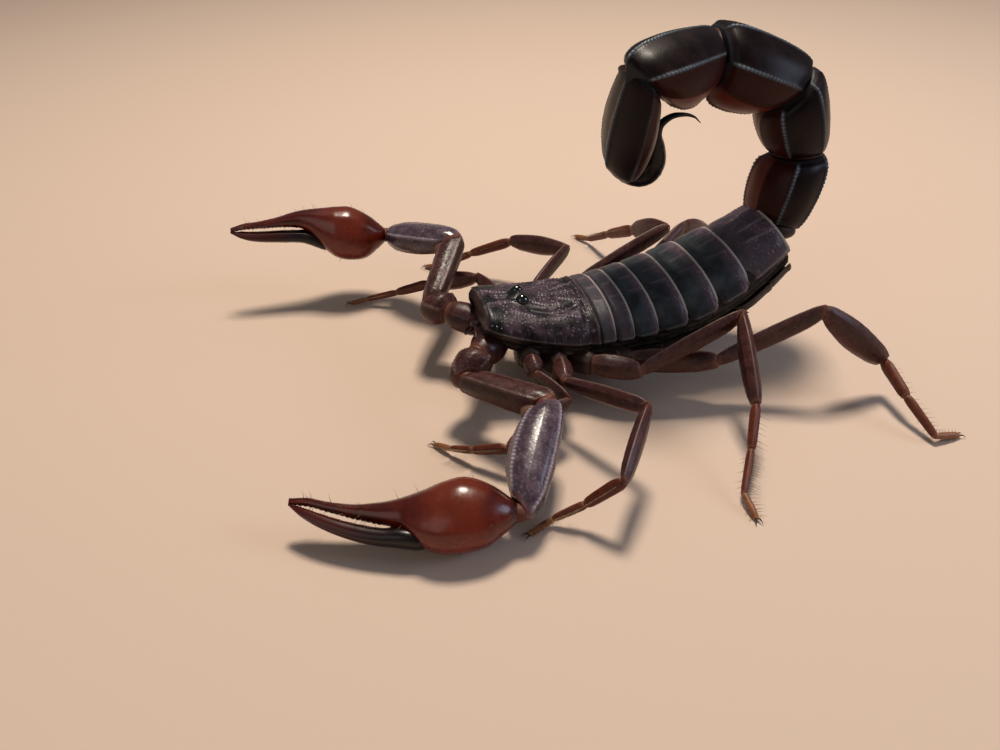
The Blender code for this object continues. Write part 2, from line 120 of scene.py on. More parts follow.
# the direction, seen across the hand, in which the movable finger opens; and how far
# the middle line bends that way along the pincer (share of the length, mm)
CHELA_OPEN = {"left": (0.80, -0.25, -0.55), "right": (0.35, 0.0, -0.93)}
CHELA_BEND = {
    "left": ((0.0, 0.0), (0.12, 0.08), (0.24, 0.32), (0.34, 0.62), (0.45, 1.2), (0.55, 1.58),
             (0.62, 1.55), (0.71, 1.31), (0.82, 0.9), (0.92, 0.42), (1.0, 0.0)),
    "right": ((0.0, 0.0), (0.24, -0.12), (0.40, -0.36), (0.55, -0.4), (0.71, -0.26), (0.87, -0.02),
              (1.0, 0.0)),
}


# ---- finishes -------------------------------------------------------------------
def linear(code):
    """sRGB hex to linear RGBA."""
    channels = [int(code[i:i + 2], 16) / 255 for i in (1, 3, 5)]
    return tuple(c / 12.92 if c <= 0.04045 else ((c + 0.055) / 1.055) ** 2.4
                 for c in channels) + (1.0,)


def node(tree, kind, inputs=(), **settings):
    """Adds a shader node; an input that is a socket is linked, any other is set."""
    made = tree.nodes.new("ShaderNode" + kind)
    for key, value in settings.items():
        setattr(made, key, value)
    for key, value in inputs:
        if isinstance(value, bpy.types.NodeSocket):
            tree.links.new(value, made.inputs[key])
        else:
            made.inputs[key].default_value = value
    return made


def cuticle(name, base, mottle, crest, rim, second, rough=(0.25, 0.42), blotch=1.1,
            grain=0.10, relief=0.010, coat=0.0, specular=0.5):
    """Hardened cuticle: a mottled base, over which the tint attribute lays three tones.

    Its red brings the crest tone, which on keel beads and grains is a painted highlight;
    green brings the rim; blue brings the second tone, which is painted shade on the hands'
    upper side and partly painted light on the tail rings' inner face. blotch and grain
    are in millimetres; relief is the height of the grain."""
    material = bpy.data.materials.new(name)
    material.use_nodes = True
    tree = material.node_tree
    shader = tree.nodes["Principled BSDF"]
    place = node(tree, "TexCoord").outputs["Object"]
    tint = node(tree, "Attribute", attribute_name="tint")
    parts = node(tree, "SeparateColor", [(0, tint.outputs["Color"])])
    clouds = node(tree, "TexNoise", [("Vector", place), ("Scale", 1 / (blotch * MM)),
                                     ("Detail", 5.0), ("Roughness", 0.62)])
    spread = node(tree, "MapRange", [(0, clouds.outputs[0]), (1, 0.38), (2, 0.64)])
    colour = node(tree, "Mix", [(0, spread.outputs[0]), (6, linear(base)),
                                (7, linear(mottle))], data_type="RGBA").outputs[2]
    for channel, tone in ((2, second), (0, crest), (1, rim)):
        colour = node(tree, "Mix", [(0, parts.outputs[channel]), (6, colour),
                                    (7, linear(tone))], data_type="RGBA").outputs[2]
    tree.links.new(colour, shader.inputs["Base Color"])
    gloss = node(tree, "MapRange", [(0, clouds.outputs[0]), (1, 0.3), (2, 0.7),
                                    (3, rough[0]), (4, rough[1])])
    tree.links.new(gloss.outputs[0], shader.inputs["Roughness"])
    pits = node(tree, "TexVoronoi", [("Vector", place), ("Scale", 1 / (grain * MM)),
                                     ("Randomness", 1.0)], feature="SMOOTH_F1")
    soft = node(tree, "TexNoise", [("Vector", place), ("Scale", 0.6 / (grain * MM)),
                                   ("Detail", 3.0)])
    height = node(tree, "Math", [(0, pits.outputs[0]), (1, soft.outputs[0])], operation="ADD")
    bump = node(tree, "Bump", [("Height", height.outputs[0]), ("Strength", 1.0),
                               ("Distance", relief * MM)])
    tree.links.new(bump.outputs[0], shader.inputs["Normal"])
    shader.inputs["IOR"].default_value = 1.55          # chitin
    shader.inputs["Specular IOR Level"].default_value = specular
    shader.inputs["Coat Weight"].default_value = coat
    shader.inputs["Coat Roughness"].default_value = 0.12
    return material


FINISHES = {
    # granulated head shield: purple-brown with black polished patches; its grains and keels take a
    # painted highlight tone
    "granular_carapace": cuticle("granular_carapace_cuticle", "#2A1F25", "#47373E", "#6E5E6E",
                                 "#7A685C", "#030509", (0.26, 0.42), 0.9, 0.11, 0.006,
                                 specular=0.2),
    # back plates: greenish black and satin, with a grainy purple band and a pale rear lip; the
    # grains and keels take a painted highlight tone
    "banded_tergite": cuticle("banded_tergite_cuticle", "#23272A", "#383E43", "#A08696",
                              "#ACA098", "#5E4854", (0.34, 0.5), 1.3, 0.12, 0.010,
                              specular=0.24),
    # soft side skin: dull olive brown, finely folded
    "side_skin": cuticle("folded_side_skin", "#17120F", "#241C17", "#3A2F26", "#6B5C49",
                         "#3A2015", (0.55, 0.75), 0.8, 0.16, 0.015, specular=0.18),
    # belly plates and leg bases: smooth brown cuticle with paler seams
    "smooth_belly": cuticle("smooth_belly_cuticle", "#1A0F0D", "#291713", "#3E2A22", "#4C362A",
                            "#34160E", (0.4, 0.55), 1.2, 0.2, 0.008, specular=0.22),
    # pincer hands: polished mahogany, clear and glossy like a lacquered nut shell; their dark
    # second tone is painted shade on the upper side and the fixed finger's own darker colour
    "mahogany_hand": cuticle("polished_mahogany_cuticle", "#50150A", "#701F0C", "#84341A",
                             "#220A07", "#240A0A", (0.2, 0.32), 1.6, 0.22, 0.004, 0.12, 0.32),
    # movable fingers: the same cuticle nearly black; the jaws take it too, as painted shade under
    # the head shield
    "dark_finger": cuticle("dark_finger_cuticle", "#0E0506", "#1A0809", "#3E1B10", "#0A0505",
                           "#4A1510", (0.26, 0.38), 1.4, 0.2, 0.004, 0.03, 0.28),
    # arm segments of the pincers: glossy purple-black, with painted pale highlights on the keels'
    # beads
    "keeled_arm": cuticle("keeled_arm_cuticle", "#382932", "#55434E", "#AAA0AE", "#6E3A2A",
                          "#45180E", (0.22, 0.32), 1.0, 0.12, 0.005, 0.08, 0.4),
    # thighs and knees of the legs: satin dark brown, redder below, with a painted highlight tone
    # on the keels' beads and grains
    "leg_brown": cuticle("satin_leg_cuticle", "#301716", "#482522", "#80665F", "#744A3A",
                         "#4E180C", (0.3, 0.46), 1.0, 0.11, 0.006, specular=0.26),
    # shins: warmer and paler brown, with a painted highlight tone on the keels' beads
    "shin_brown": cuticle("thin_shin_cuticle", "#4C1F14", "#602A18", "#7C4A32", "#8A5A42",
                          "#5A2412", (0.36, 0.5), 0.8, 0.11, 0.006, specular=0.26),
    # feet: thin amber cuticle
    "amber_foot": cuticle("amber_foot_cuticle", "#71402A", "#8E5A34", "#A87A4C", "#A87A4C",
                          "#5A2A1A", (0.4, 0.55), 0.6, 0.12, 0.005, specular=0.4),
    # tail rings: glossy black-brown with painted blue-grey highlights on the toothed keels; a
    # red-brown inner face, its near half painted darker as shade and its far half painted as lit
    "keeled_tail": cuticle("keeled_tail_cuticle", "#0F0608", "#1B0C0E", "#90A0AE", "#30343A",
                           "#5A2010", (0.30, 0.42), 1.5, 0.14, 0.005, 0.0, 0.12),
    # sting bulb and claws: polished near-black horn
    "black_sting": cuticle("polished_sting_cuticle", "#0A0505", "#120809", "#2A1A1C", "#4A3A38",
                           "#040303", (0.26, 0.4), 1.0, 0.2, 0.005, 0.0, 0.24),
    # joint skin: leathery, dusky pink to orange-brown where it is stretched
    "joint_skin": cuticle("leathery_joint_skin", "#45261B", "#5E3828", "#A88270", "#7A2C16",
                          "#2A0E07", (0.5, 0.68), 0.5, 0.1, 0.010, specular=0.3),
    # eye lens: clear hard dome over black
    "eye_lens": cuticle("black_eye_lens", "#010102", "#020203", "#010102", "#010102", "#010102",
                        (0.05, 0.08), 0.6, 0.4, 0.0, 0.5, 0.6),
    # bristles: straw-coloured hair
    "straw_bristle": cuticle("straw_coloured_bristle", "#6E5238", "#8C6C4C", "#8A7050",
                             "#8A7050", "#8A7050", (0.5, 0.6), 0.5, 0.2, 0.0, specular=0.3),
}


# ---- building tools ---------------------------------------------------------------
def link(name, data):
    """A new object in the scene that shows the data."""
    made = bpy.data.objects.new(name, data)
    bpy.context.scene.collection.objects.link(made)
    return made


def add_piece(name, work, finish, nodes=()):
    """Turns a bmesh into a piece of the model that rides on the one rigid body."""
    bmesh.ops.recalc_face_normals(work, faces=work.faces)
    for face in work.faces:
        face.smooth = True
    mesh = bpy.data.meshes.new(name)
    work.to_mesh(mesh)
    work.free()
    mesh.materials.append(FINISHES[finish])
    piece = link(name, mesh)
    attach(piece, "root")
    if nodes:
        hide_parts(*nodes)
    return piece


def lines(count, least):
    return max(least, round(count * FINENESS))


def start_work():
    """An empty bmesh in which each point has the tint that cuticle() reads."""
    work = bmesh.new()
    work.verts.layers.float_color.new("tint")
    return work


def set_points(work, verts, place):
    """Gives each point the place, in millimetres, and the shade that place(co) returns."""
    tint = work.verts.layers.float_color["tint"]
    for vert in verts:
        point, shade = place(vert.co)
        vert.co = (point + SHIFT) * MM
        vert[tint] = (*shade, 1.0)


def lay_grid(work, place, around, along, rolled=True):
    """Adds a grid and moves each of its points to place(turn, share); both run 0 to 1."""
    verts = bmesh.ops.create_grid(work, x_segments=around, y_segments=along, size=1.0)["verts"]
    set_points(work, verts, lambda co: place((co.x + 1) / 2, (co.y + 1) / 2))
    if rolled:
        bmesh.ops.remove_doubles(work, verts=verts, dist=MERGE)
    return verts


def clamp(x):
    return min(max(x, 0.0), 1.0)


def flow(rows, x):
    """A smooth row between the table's rows, at x in the first column."""
    i = 0
    while i < len(rows) - 2 and x > rows[i + 1][0]:
        i += 1
    a, b = rows[i], rows[i + 1]
    span = b[0] - a[0]
    t = clamp((x - a[0]) / span)
    h01 = t * t * (3 - 2 * t)
    h10, h11 = t * (1 - t) ** 2, t * t * (t - 1)
    found = []
    for k in range(1, len(a)):
        straight = (b[k] - a[k]) / span
        first = (b[k] - rows[i - 1][k]) / (b[0] - rows[i - 1][0]) if i else straight
        last = ((rows[i + 2][k] - a[k]) / (rows[i + 2][0] - a[0])
                if i < len(rows) - 2 else straight)
        found.append(a[k] * (1 - h01) + b[k] * h01 + span * (h10 * first + h11 * last))
    return found


def step(low, high, x):
    """Smooth rise from 0 at low to 1 at high."""
    t = clamp((x - low) / (high - low))
    return t * t * (3 - 2 * t)


def hump(x, width):
    """Bell-shaped rise: 1 at x = 0, a third of that at x = width."""
    return math.exp(-(x / width) ** 2)


def bead(x, pitch):
    """Height of a row of beads, each of its own size, at x mm along it."""
    number = math.floor(x / pitch)
    size = 0.75 + 0.25 * math.sin(number * 12.9898 + 4.1) * math.cos(number * 7.23)
    return size * abs(math.sin(math.pi * x / pitch)) ** 0.8


def granule(x, y, z, size):
    """Height 0 to 1 of scattered rounded grains about size mm apart."""
    gap = noise.voronoi(Vector((x, y, z)) / size)[0][0]
    return max(0.0, 1.0 - (gap / 0.36) ** 2)


def rounded(x, power):
    """A sine or cosine that makes a circle squarer, as power falls below 1."""
    return math.copysign(abs(x) ** power, x)


def circle(turn):
    """Cosine and sine of a share of a full turn."""
    return math.cos(2 * math.pi * turn), math.sin(2 * math.pi * turn)


def closing(share, first, last):
    """Share of the full section that is reached, where a grid closes at both its ends."""
    return math.sin(math.pi / 2 * min(1.0, share / first, (1 - share) / last))


def towards(a, b):
    """Direction from a to b."""
    return (b - a).normalized()


def axes_of(start, end, hint):
    """Unit vectors along a segment, across it and up, nearest to the hint."""
    along = towards(start, end)
    across = along.cross(hint).normalized()
    return along, across, across.cross(along)


def mitres(points):
    """Normal of the mitre plane at each point of a chain; its ends are cut square."""
    ways = [towards(a, b) for a, b in zip(points, points[1:])]
    return [ways[0], *((a + b).normalized() for a, b in zip(ways, ways[1:])), ways[-1]]


def upright(start, end):
    """The upward hint for a segment, which changes where the segment itself is upright."""
    along = towards(start, end)
    if abs(along.z) > 0.97:
        return Vector((along.x, along.y, 0.0)).normalized()
    return UP


def faceted(section, bulge, count):
    """The outline's columns: (cos, sin, radius, angle to the nearest crest, its strength).

    bulge is 0 for flat faces between the crests and 1 for round ones."""
    corners = sorted(section)
    corners = [(corners[-1][0] - 360, *corners[-1][1:])] + corners
    corners.append((corners[1][0] + 360, *corners[1][1:]))
    columns = []
    for i in range(count + 1):
        angle = -180 + 360 * (i % count) / count
        while angle < corners[0][0]:
            angle += 360
        for a, b in zip(corners, corners[1:]):
            if a[0] <= angle <= b[0]:
                break
        wide = math.radians(b[0] - a[0])
        near, far = math.radians(angle - a[0]), math.radians(b[0] - angle)
        radius = a[1] * b[1] * math.sin(wide) / (a[1] * math.sin(near) + b[1] * math.sin(far))
        radius += bulge * wide * wide / 8 * math.sin(math.pi * near / wide)
        off, strength = min((abs(near), a[2]), (abs(far), b[2]))
        columns.append((math.cos(math.radians(angle)), math.sin(math.radians(angle)), radius,
                        off, strength))
    return columns


def limb(work, start, end, cuts, hint, rows, section, bulge=0.5, around=44, along=60,
         gap=(0.1, 0.1), beads=(0.34, 0.10, 0.13), grit=(0.0, 0.3), cap=0.25, tone=None,
         rise=False, collar=0.05):
    """One segment of a limb or of the tail between two mitre planes, with keels and grains.

    beads are the pitch, height and width of the keels' beads; grit the grains' height and
    spacing; cap how far each end bulges, and collar the share of the length that its rim
    takes; with rise the beads grow along the keels; tone gives the second tone for a
    direction round the segment."""
    axis, across, up = axes_of(start, end, hint)
    length = (end - start).length
    around, along = lines(around, 10), lines(along, 8)
    columns = faceted(section, bulge, around)
    pitch, high, width = beads
    mouth = 0.07        # share of the grid that closes each end

    def place(turn, share):
        c, s, radius, off, strength = columns[round(turn * around)]
        cover, x = closing(share, mouth, mouth), clamp((share - mouth) / (1 - 2 * mouth))
        wide, deep = flow(rows, x)
        u, v = wide * radius * c, deep * radius * s
        side = across * u + up * v
        first = gap[0] - side.dot(cuts[0]) / axis.dot(cuts[0])
        last = length - gap[1] - side.dot(cuts[1]) / axis.dot(cuts[1])
        run = first + (last - first) * x
        far = off * math.hypot(wide * c, deep * s)
        grow = (0.45 + 0.55 * x) if rise else 1.0
        ends = min(step(0.0, 0.08, x), step(0.0, 0.05, 1 - x))
        tooth = strength * hump(far, width) * ends * grow
        lift = high * tooth * (0.25 + 0.75 * bead(run, pitch))
        here = start + side + axis * run
        grain = granule(*here, grit[1]) * ends if grit[0] else 0.0
        lift += grit[0] * grain
        out = (across * (c * deep) + up * (s * wide)).normalized()
        point = start + side * cover + axis * run + out * (lift * cover)
        point += axis * (cap * (1 - cover) * (1 if x > 0.5 else -1))
        rim = max(1 - step(0.0, collar, x), 1 - step(0.0, collar, 1 - x))
        # painted highlight: the keels' beads and the grains take the pale crest tone, as glints
        light = min(1.0, tooth ** 1.5 * (0.2 + 0.8 * bead(run, pitch)) + 0.25 * grain)
        return point, (light, 0.55 * rim, tone(c, s) if tone else 0.0)

    lay_grid(work, place, around, along)


def stub(work, start, end, rows, section, bulge, around, along, **more):
    """A segment that is cut square at both ends."""
    axis = towards(start, end)
    limb(work, start, end, (axis, axis), UP, rows, section, bulge, around, along, **more)


def ball(work, centre, size, axes=None, shade=(0.0, 0.0, 0.0), rings=12):
    """A rounded lump of soft skin; size is its three half lengths along axes."""
    made = bmesh.ops.create_uvsphere(work, u_segments=2 * rings, v_segments=rings, radius=1.0)
    axes = axes or (SIDE, Vector((0, 1, 0)), UP)
    set_points(work, made["verts"], lambda co: (
        centre + sum((axes[k] * (co[k] * size[k]) for k in range(3)), Vector()), shade))


def spike(work, root, tip, radius, sides=5, bend=Vector(), shade=(0.0, 0.0, 0.0), parts=3):
    """A tapering bristle, tooth or claw from root to tip, curved towards bend."""
    length = (tip - root).length
    turn = (tip - root).to_track_quat("Z", "Y")
    rows = parts + 2

    def place(co):
        angle, row = math.pi * co.x, round((co.y + 1) / 2 * rows)
        share = clamp((row - 1) / parts)
        thick = radius * (1 - 0.88 * share) if 0 < row < rows else 0.0
        point = root + turn @ Vector((math.cos(angle) * thick, math.sin(angle) * thick,
                                      share * length))
        return point + bend * (4 * share * (1 - share)), shade

    verts = bmesh.ops.create_grid(work, x_segments=sides, y_segments=rows, size=1.0)["verts"]
    set_points(work, verts, place)
    bmesh.ops.remove_doubles(work, verts=verts, dist=MERGE / 10)


def hair(work, root, tip, radius, bend=Vector(), parts=2):
    """A bristle, whose tip is kept off the ground."""
    tip = Vector((tip.x, tip.y, max(tip.z, HAIR_LOW)))
    spike(work, root, tip, radius, 4, bend, parts=parts)


# ---- trunk ------------------------------------------------------------------------
def between(table, x):
    """Value at x of a table that runs straight from row to row."""
    for (x0, y0), (x1, y1) in zip(table, table[1:]):
        if x <= x1:
            return y0 + (y1 - y0) * max(x - x0, 0.0) / (x1 - x0)
    return table[-1][1]


def back(s):
    """Point on the middle of the back, s mm behind the front edge, and its up axis."""
    p0, rate = math.radians(PITCH_FRONT), math.radians(PITCH_PER_MM)
    pitch = p0 + rate * s
    y = (math.sin(pitch) - math.sin(p0)) / rate
    z = FRONT_HEIGHT - (math.cos(pitch) - math.cos(p0)) / rate
    return Vector((0.0, y, z)), Vector((0.0, -math.sin(pitch), math.cos(pitch)))


def carapace_half(s):
    wider = math.sqrt(clamp(s / 8.0))
    return CARAPACE_FRONT_HALF + (CARAPACE_REAR_HALF - CARAPACE_FRONT_HALF) * wider


def shield(name, first, last, half_at, relief, finish, nodes, around, along):
    """A domed plate of the back, from first to last mm, curled under along its sides."""
    work = start_work()

    def place(turn, share):
        s = first + (last - first) * share
        half, arch = half_at(s, share), between(ARCH, s)
        angle = (turn * 2 - 1) * PLATE_WRAP * math.pi / 2
        sn, cs = math.sin(angle), math.cos(angle)
        u = half * rounded(sn, PLATE_SQUARE)
        v = (arch if cs > 0 else PLATE_SKIRT) * rounded(cs, PLATE_SQUARE)
        out = Vector((sn * arch, cs * half, 0.0)).normalized()
        lift, shade = relief(s, u, share, abs(angle) / (math.pi / 2))
        point, up = back(s)
        return point + SIDE * (u + lift * out.x) + up * (v - arch + lift * out.y), shade

    lay_grid(work, place, lines(around, 8), lines(along, 4), rolled=False)
    edge = [e for e in work.edges if e.is_boundary]
    lip = bmesh.ops.extrude_edge_only(work, edges=edge)["geom"]
    lip_verts = [g for g in lip if isinstance(g, bmesh.types.BMVert)]
    up = back((first + last) / 2)[1]
    for vert in lip_verts:
        vert.co.x = SHIFT.x * MM + (vert.co.x - SHIFT.x * MM) * 0.96
        vert.co -= up * (PLATE_LIP * MM)
    bmesh.ops.holes_fill(work, edges=[g for g in lip if isinstance(g, bmesh.types.BMEdge)
                                      and g.is_boundary], sides=0)
    return add_piece(name, work, finish, nodes)


CARAPACE_KEELS = (  # s and distance from the midline at both ends, height, width
    (0.4, 1.25, 3.0, 0.80, 0.13, 0.15), (3.1, 0.95, 4.9, 1.05, 0.12, 0.15),
    (4.9, 1.05, 6.3, 1.75, 0.10, 0.14), (6.3, 1.75, 7.5, 1.75, 0.08, 0.14),
    (7.3, 0.75, 9.8, 1.75, 0.10, 0.14), (2.6, 2.3, 4.9, 3.2, 0.07, 0.15),
    (6.6, 3.0, 8.8, 3.9, 0.06, 0.15))


def carapace_relief(s, u, share, spread):
    half = carapace_half(s)
    side = abs(u)
    lift = -0.22 * between(ARCH, s) * (1 - min(1.0, s / 0.75)) ** 2
    # the mound of the main eyes, and the furrow along the midline before and behind it
    lift += 0.50 * hump(s - 4.0, 1.05) * hump(u, 1.05)
    lift -= 0.16 * hump(u, 0.16) * (step(0.6, 1.4, s) - step(2.6, 3.2, s)
                                    + step(5.0, 5.6, s) - step(9.2, 9.9, s))
    # curved furrows at both sides of it, and one across the rear
    valley = side - (1.9 + 0.9 * hump(s - 6.6, 2.2))
    lift -= 0.22 * hump(valley, 0.42) * step(3.4, 4.6, s) * (1 - step(8.6, 9.6, s))
    lift -= 0.12 * hump(s - 9.3, 0.22)
    # polished patches, where the grains fade
    polish = hump(s - 3.5, 0.95) * hump(side - 0.5, 0.75)
    polish += 1.1 * hump(s - 1.0, 0.85) * hump(side - 2.4, 0.8)
    polish += 0.7 * hump(s - 6.4, 1.2) * hump(side - 4.3, 0.6)
    cloud = noise.noise(Vector((u * 0.55, s * 0.55, 3.0)))
    polish = min(1.0, 1.25 * polish + 0.8 * step(0.06, 0.30, cloud))
    rough = (1 - 0.85 * polish) * (1 - step(0.96, 1.04, spread))
    grain = granule(u, s, 0.4, 0.31) * rough
    lift += 0.07 * grain
    ridge = 0.0
    for s0, u0, s1, u1, high, wide in CARAPACE_KEELS:
        length = math.hypot(s1 - s0, u1 - u0)
        run = ((s - s0) * (s1 - s0) + (side - u0) * (u1 - u0)) / length
        if -0.3 < run < length + 0.3:
            off = abs((s - s0) * (u1 - u0) - (side - u0) * (s1 - s0)) / length
            ends = step(-0.2, 0.15, run) * step(-0.2, 0.15, length - run)
            tooth = ends * hump(off, wide) * (0.3 + 0.7 * bead(run, 0.30))
            lift += high * tooth
            ridge = max(ridge, tooth)
    rim = hump((0.985 - spread) * half, 0.075)
    front = hump(s - 0.20, 0.08)
    rear = hump(s - 10.08, 0.08)
    lift += 0.07 * rim + 0.06 * rear + 0.05 * front * (0.4 + 0.6 * bead(u, 0.28))
    # painted highlight: the grains and keel beads take the pale crest tone
    light = min(1.0, 0.55 * grain + 0.6 * ridge * (1 - 0.7 * polish))
    amber = hump(s - 2.2, 1.3) * step(0.90, 1.0, spread)
    dusk = 0.5 * step(6.0, 10.0, s)
    return lift, (light, min(0.9, 0.30 * rim + 0.12 * front + 0.3 * rear + 0.4 * amber),
                  max(polish, dusk))


def make_carapace():
    shield("head_shield", 0.12, CARAPACE_LENGTH + 0.05, lambda s, share: carapace_half(s) *
           (0.95 + 0.05 * min(1.0, s / 0.5)), carapace_relief, "granular_carapace",
           ("carapace",), 300, 230)
    for side, word in BOTH:
        work = start_work()
        point, up = back(4.0)
        out = (SIDE * (side * 0.80) + up * 0.60).normalized()
        centre = point + SIDE * (side * 0.93) + up * 0.10
        along = out.cross(UP).normalized()
        ball(work, centre, (0.64, 0.56, 0.64), (along, out, out.cross(along)), rings=16)
        add_piece(f"{word}_main_eye", work, "eye_lens", (f"median_eye_{word}",))
        work = start_work()
        for s, width in ((0.55, 0.14), (0.95, 0.15), (1.35, 0.14)):
            point, up = back(s)
            half = carapace_half(s)
            centre = point + SIDE * (side * half * 0.95) - up * (between(ARCH, s) * 0.66)
            ball(work, centre, (width, width, width), rings=8)
        add_piece(f"{word}_side_eyes", work, "eye_lens")


def make_tergites():
    """Seven back plates, each tucked under the rear lip of the one before."""
    for number, length in enumerate(TERGITE_LENGTHS, 1):
        (start, before), (_, half) = TRUNK[number - 1:number + 1]
        last = number == 7

        def half_at(s, share, before=before, half=half, last=last):
            wide = before + (half - before) * clamp(share) ** 0.6
            corner = 0.62 * step(0.62, 1.0, share) ** 3 + 0.22 * (1 - step(0.0, 0.25, share))
            return wide - corner * (0.5 if last else 1.0)

        def relief(s, u, share, spread, length=length, half=half, last=last, start=start,
                   least=0.45 if number < 3 else 0.7 if number == 7 else 0.0):
            run = s - start
            side = abs(u)
            rear = step(0.50, 0.92, share) if not last else 0.55 + 0.45 * step(0.3, 0.9, share)
            lift = -0.30 * (1 - step(0.0, 0.30, share)) - 0.05 * (1 - rear)
            inside = 1 - step(0.94, 1.02, spread)
            patch = step(-0.25, 0.25, noise.noise(Vector((u * 0.8, s * 0.9, 9.0))))
            grain = granule(u, s, number, 0.24) * inside
            grain *= (0.12 + 0.88 * rear) * (0.4 + 0.6 * patch)
            lift += 0.075 * grain
            ridge = 0.0
            keels = ((0.0, 0.0, 0.6), (2.0, 2.35, 0.45)) if not last else (
                (0.0, 0.0, 0.5), (1.0, 1.25, 1.0), (2.45, 2.75, 1.0))
            for near, far, strong in keels:
                if last and near == 0.0 and share > 0.6:
                    continue
                at = near + (far - near) * share
                ends = step(0.25, 0.45, share) * step(0.0, 0.06, 1 - share)
                tooth = strong * ends * hump(side - at, 0.14)
                tooth *= 0.35 + 0.65 * bead(run, 0.30)
                lift += 0.12 * tooth
                ridge = max(ridge, tooth)
            lip = step(length - 0.17, length - 0.07, run) * (1 - step(0.97, 1.04, spread))
            lift += 0.08 * lip * (1 - step(length + 0.04, length + 0.12, run))
            margin = hump((0.975 - spread) * half, 0.08)
            lift += 0.06 * margin
            # painted highlight: the grains and keel beads take the pale crest tone
            light = min(1.0, 0.9 * grain * rear + 0.5 * ridge)
            pale = min(0.95, 0.9 * lip + 0.25 * margin * step(0.05, 0.3, share))
            return lift, (light, pale, 0.85 * max(rear, least) * (0.55 + 0.45 * patch))

        shield(f"back_plate_{number}", start - 0.12, start + length + 0.12, half_at, relief,
               "banded_tergite", (f"tergite_{number}",), 230, 24 + round(17 * length))


def trunk_half(s):
    """Half width of the trunk's plates s mm behind the front edge."""
    return carapace_half(s) if s < CARAPACE_LENGTH else between(TRUNK, s)


def make_trunk_skin():
    """One closed skin inside all the plates; its folded sides show below the back plates."""
    work = start_work()

    def place(turn, share):
        s = 0.9 + (TRUNK[-1][0] - 0.2) * share
        close = closing(share, 0.05, 0.04)
        half = (trunk_half(s) - SKIN_INSET) * close
        arch = between(ARCH, s)
        deep = 0.62 + 0.36 * step(2.0, 6.0, s)
        deep = 0.8 + VENTER_DEPTH * deep * (1 - 0.30 * step(24, 31, s))
        c, sn = circle(turn)
        v = (arch - 0.55) * sn if sn > 0 else deep * rounded(sn, 0.8)
        fold = 0.0
        if sn < 0.1:
            fold = 0.09 * math.sin(v * 9.0 + 0.9 * math.sin(s * 1.7)) * step(0.2, 0.6, abs(c))
            fold += 0.06 * noise.noise(Vector((s * 1.4, v * 2.0, c)))
        point, up = back(s)
        pale = 0.35 * step(0.02, 0.09, fold)
        point += SIDE * (half * rounded(c, 0.8) + fold * c) + up * (v * close - arch)
        return point, (0.0, pale, 0.0)

    lay_grid(work, place, lines(120, 6), lines(190, 4))
    add_piece("trunk_skin", work, "side_skin")


def make_belly():
    """Five belly plates behind the leg bases, with their breathing slits."""
    work = start_work()
    ends = (12.4, 15.6, 19.2, 22.8, 26.4, TRUNK[-1][0] - 0.5)
    for first, last in zip(ends, ends[1:]):
        def place(turn, share, first=first, last=last):
            s = first - 0.25 + (last - first + 0.3) * share
            half = trunk_half(s) * 0.955 - 0.1
            angle = math.pi * (1.06 + 0.88 * turn)
            arch = between(ARCH, s)
            deep = 0.95 + VENTER_DEPTH * 0.99 * (1 - 0.30 * step(24, 31, s))
            c, sn = math.cos(angle), math.sin(angle)
            u = half * rounded(c, 0.62)
            v = -deep * abs(sn) ** 0.62
            lip = step(0.86, 0.95, share)
            lift = 0.16 * step(0.0, 0.25, share) + 0.05 * lip
            slit = hump(abs(u) - half * 0.66, 0.55) * hump(share - 0.55, 0.05)
            lift -= 0.12 * slit
            point, up = back(s)
            point += SIDE * (u + lift * c) + up * (v - lift - arch)
            return point, (0.0, 0.4 * lip, min(1.0, slit))

        verts = lay_grid(work, place, lines(90, 8), lines(26, 4), rolled=False)
        faces = list({f for v in verts for f in v.link_faces})
        bmesh.ops.solidify(work, geom=faces, thickness=0.15 * MM)
    add_piece("belly_plates", work, "smooth_belly", ("venter_rear",))


def low_point(s, x, depth):
    """A point x mm from the midline and depth mm below the back plates' margin."""
    point, up = back(s)
    return point + SIDE * x - up * (between(ARCH, s) + depth - 0.35)


SECTION_ROUND = ((90, 1.0, 0.0), (30, 1.0, 0.0), (-30, 1.0, 0.0), (-90, 1.0, 0.0),
                 (-150, 1.0, 0.0), (150, 1.0, 0.0))
SECTION_LEG = ((90, 1.0, 1.0), (35, 1.0, 0.25), (-30, 1.0, 0.0), (-90, 1.0, 0.55),
               (-150, 1.0, 0.0), (145, 1.0, 0.25))
SECTION_ARM = ((46, 1.12, 0.6), (-44, 1.10, 0.6), (-136, 1.10, 0.5), (134, 1.12, 0.6))
SECTION_KNEE = ((8, 1.0, 0.5), (48, 1.03, 1.0), (98, 0.99, 0.0), (148, 1.03, 1.0),
                (-135, 1.0, 0.3), (-45, 1.0, 0.4))
# the rings of the tail: a furrowed inner face between two keels, keeled sides, a rounded outside
SECTION_TAIL = ((43, 1.08, 1.0), (90, 1.03, 0.12), (137, 1.08, 1.0), (202, 1.04, 0.9),
                (-22, 1.04, 0.9), (-62, 1.02, 0.35), (-118, 1.02, 0.35))
SECTION_LAST = ((43, 1.05, 0.6), (90, 0.95, 0.0), (137, 1.05, 0.6), (205, 1.03, 0.8),
                (-25, 1.03, 0.8), (-90, 1.01, 0.6))
# place s and distance from the midline of each leg base's inner end, and its half width
COXAE = ((4.6, 0.75, 1.15), (5.6, 0.85, 1.05), (6.9, 0.9, 1.15), (8.3, 0.7, 1.25))


